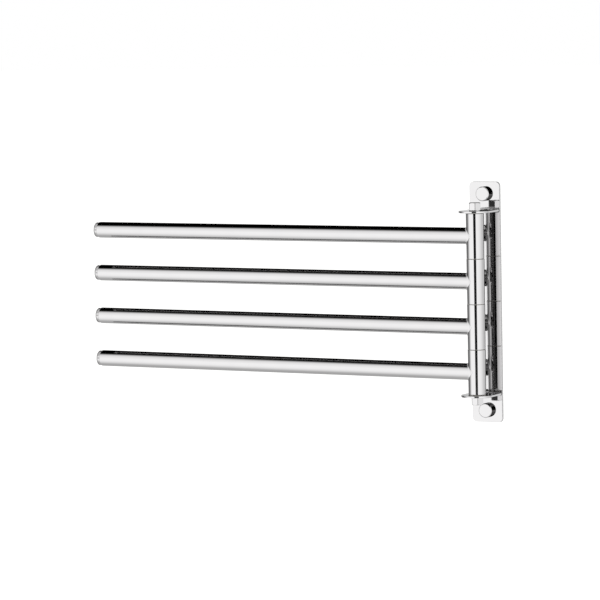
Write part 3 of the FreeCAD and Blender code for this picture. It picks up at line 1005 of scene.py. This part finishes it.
def steps_of(tree, value, stops):
    """A ramp over -180 to 180 degrees: stops of (degrees, brightness)."""
    spread = math_node(tree, "MULTIPLY_ADD", value, 1 / math.tau, 0.5)
    ramp = add_node(tree, "ShaderNodeValToRGB", {0: spread})
    band = ramp.color_ramp
    while len(band.elements) > 1:
        band.elements.remove(band.elements[0])
    for i, (degrees, level) in enumerate(stops):
        at = degrees / 360 + 0.5
        stop = band.elements[0] if i == 0 else band.elements.new(at)
        stop.position = at
        stop.color = (level, level, level, 1)
    return ramp.outputs[0]


front = math_node(tree, "MULTIPLY", way["Y"], -1.0)
over = math_node(tree, "ARCTAN2", way["Z"], front)
round_about = math_node(tree, "ARCTAN2", way["X"], front)
cloth = steps_of(tree, over, [
    (-180, 0.44), (-123, 0.42), (-100, 0.42), (-81, 0.50), (-65, 0.70),
    (-50, 0.84), (-35, 0.96), (-15, 1.0), (6, 0.97), (20, 0.92), (38, 0.84),
    (52, 0.62), (63, 0.26), (70, 0.04), (76, 0.0), (180, 0.0)])
ring = steps_of(tree, round_about, [
    (-180, 0.85), (-141, 0.60), (-123, 0.40), (-106, 0.16), (-90, 0.12),
    (-78, 0.26), (-70, 0.42), (-54, 0.88), (-45, 1.0), (3.5, 1.0), (6.5, 0.01),
    (35.5, 0.01), (38.5, 1.0), (70, 0.95), (88, 0.88), (103, 0.76), (120, 0.66),
    (138, 0.50), (150, 0.66), (165, 0.80), (180, 0.85)])
print("world has", len(tree.nodes), "nodes so far")

# %% Join the cloth, the ceiling and the ring
def share_from(value, none_at, all_at):
    """Nothing at none_at, rising softly to one at all_at."""
    return add_node(tree, "ShaderNodeMapRange",
                    {"Value": value, "From Min": none_at, "From Max": all_at,
                     "To Min": 0.0, "To Max": 1.0},
                    interpolation_type="SMOOTHSTEP").outputs[0]


def between(share, first, second):
    return add_node(tree, "ShaderNodeMix", {0: share, 2: first, 3: second},
                    data_type="FLOAT").outputs[0]


# the dark overhead is only as wide as the arms need it: straight above and
# towards both sides there is pale ceiling
CEILING_LEVEL = 0.5
ceiling = math_node(tree, "MAXIMUM", share_from(way["X"], 0.18, 0.34),
                    math_node(tree, "MAXIMUM", share_from(way["X"], -0.66, -0.8),
                              share_from(way["Z"], 0.89, 0.93)))
cloth = math_node(tree, "MAXIMUM", cloth,
                  math_node(tree, "MULTIPLY", ceiling, CEILING_LEVEL))
# the ring lies where upright pieces mirror the height of the lens
off_height = math_node(tree, "ABSOLUTE", math_node(tree, "ADD", way["Z"], 0.01))
off_ring = share_from(off_height, 0.11, 0.15)
mirrored = between(off_ring, ring, cloth)
print("world has", len(tree.nodes), "nodes so far")

# %% Weaken the light that has met two or more pieces
# this depth is 1 for the camera's own view, 2 in one mirror, 3 in two
rays = add_node(tree, "ShaderNodeLightPath").outputs
again = math_node(tree, "GREATER_THAN", rays["Ray Depth"], 2.5)
thrice = math_node(tree, "GREATER_THAN", rays["Ray Depth"], 3.5)
inner = steps_of(tree, round_about, [
    (-180, 0.0), (-38, 0.0), (-33, 0.96), (40, 0.96), (46, 0.0), (180, 0.0)])
# towards the wall at the left it stays a dull grey instead of black
wallward = math_node(tree, "MULTIPLY", share_from(way["Z"], -0.72, -0.6),
                     steps_of(tree, round_about, [
                         (-180, 0.0), (-146, 0.0), (-138, 0.3), (-98, 0.3),
                         (-88, 0.0), (180, 0.0)]))
outer = math_node(tree, "SUBTRACT", 1.0,
                  math_node(tree, "MAXIMUM", wallward, thrice))
second = math_node(tree, "MULTIPLY", again, between(off_ring, inner, outer))
third = math_node(tree, "MULTIPLY", thrice, steps_of(tree, round_about, [
    (-180, 0.9), (-60, 0.9), (-50, 0.3), (-42, 0.3), (-36, 0.9), (180, 0.9)]))
dimmed = math_node(tree, "MAXIMUM", second, third)
mirrored = math_node(tree, "MULTIPLY", mirrored,
                     math_node(tree, "SUBTRACT", 1.0, dimmed))
# the top of the next arm stays pale in the underside of the arm above it
NEXT_ARM_LEVEL = 0.42
upward = math_node(tree, "MULTIPLY", share_from(way["Z"], 0.68, 0.78),
                   NEXT_ARM_LEVEL)
mirrored = math_node(tree, "MAXIMUM", mirrored,
                     math_node(tree, "MULTIPLY", again, upward))
# low in the side of a screw cover the black crescent turns grey
below = steps_of(tree, over, [
    (-180, 0.0), (-46, 0.0), (-35, 0.04), (-22, 0.07), (-14, 0.12),
    (-8, 0.14), (-4, 0.0), (180, 0.0)])
ahead = steps_of(tree, round_about, [
    (-180, 0.0), (-6, 0.0), (0, 1.0), (34, 1.0), (44, 0.0), (180, 0.0)])
patch = math_node(tree, "MULTIPLY", math_node(tree, "SUBTRACT", again, thrice),
                  math_node(tree, "MULTIPLY", below, ahead))
mirrored = math_node(tree, "MAXIMUM", mirrored, patch)
print("world has", len(tree.nodes), "nodes so far")

# %% Light the world
SOFT_LIGHT = 0.72
level = math_node(tree, "ADD", SOFT_LIGHT,
                  math_node(tree, "MULTIPLY", rays["Is Glossy Ray"],
                            math_node(tree, "SUBTRACT", mirrored, SOFT_LIGHT)))
level = math_node(tree, "ADD", level,
                  math_node(tree, "MULTIPLY", rays["Is Camera Ray"],
                            math_node(tree, "SUBTRACT", 1.0, level)))
glow = add_node(tree, "ShaderNodeBackground",
                {"Color": (1, 1, 1, 1), "Strength": level})
add_node(tree, "ShaderNodeOutputWorld", {"Surface": glow.outputs[0]})
world.cycles.sampling_method = "NONE"
print("world has", len(tree.nodes), "nodes")

# %% [markdown]
# ## Two soft lamps
# One large soft lamp stands high at the left front and a weaker one at the
# right, for the nylon, the turned steel and the shadow on the floor.  The
# mirrors don't show them: the white cloth is already in the world.

# %% Hang the lamps
LAMPS_AIM_AT = Vector((-0.2, 0, 0))


def soft_lamp(name, place, watts, size):
    light = bpy.data.lights.new(name, "AREA")
    light.energy = watts
    light.shape = "SQUARE"
    light.size = size
    lamp = bpy.data.objects.new(name, light)
    lamp.location = place
    lamp.rotation_mode = "QUATERNION"
    aim = LAMPS_AIM_AT - Vector(place)
    lamp.rotation_quaternion = aim.to_track_quat("-Z", "Y")
    lamp.visible_glossy = False
    bpy.context.scene.collection.objects.link(lamp)
    print(name, "gives", watts, "W")


soft_lamp("soft_lamp_left", (-1.6, -1.8, 2.0), 26, 1.6)
soft_lamp("soft_lamp_right", (2.0, -1.2, 1.4), 12, 1.4)

# %% [markdown]
# ## The camera
# The lens is long: the arms keep almost the same width from end to end.
# The place was worked out from the lines of the plate and the arms: 29.4
# degrees to the right of the front, 4.65 degrees above, 3.6 m away, with a
# tilt of one degree.

# %% Set up the camera
PICTURE_WIDE = 600      # pixels
SENSOR_WIDE = 36        # mm


def camera_at(azimuth, height_angle, tilt, distance, target, pixels_long):
    a, e, t = map(math.radians, (azimuth, height_angle, tilt))
    back = Vector((math.sin(a) * math.cos(e), -math.cos(a) * math.cos(e),
                   math.sin(e)))
    right = Vector((math.cos(a), math.sin(a), 0))
    up = back.cross(right)
    right, up = (right * math.cos(t) + up * math.sin(t),
                 up * math.cos(t) - right * math.sin(t))
    data = bpy.data.cameras.new("photo_camera")
    data.sensor_width = SENSOR_WIDE
    data.lens = pixels_long / PICTURE_WIDE * SENSOR_WIDE
    data.clip_start, data.clip_end = 0.05, 200
    camera = bpy.data.objects.new("photo_camera", data)
    turn = Matrix((right, up, back)).transposed().to_4x4()
    camera.matrix_world = Matrix.Translation(Vector(target) + back * distance) @ turn
    bpy.context.scene.collection.objects.link(camera)
    bpy.context.scene.camera = camera
    return camera


camera = camera_at(azimuth=29.417, height_angle=4.653, tilt=-1.059,
                   distance=3.59974, target=(-0.199765, POST_Y, -0.000882),
                   pixels_long=3539.71)
bpy.context.scene.view_settings.view_transform = "Standard"
print("camera at", [round(c, 3) for c in camera.matrix_world.translation])
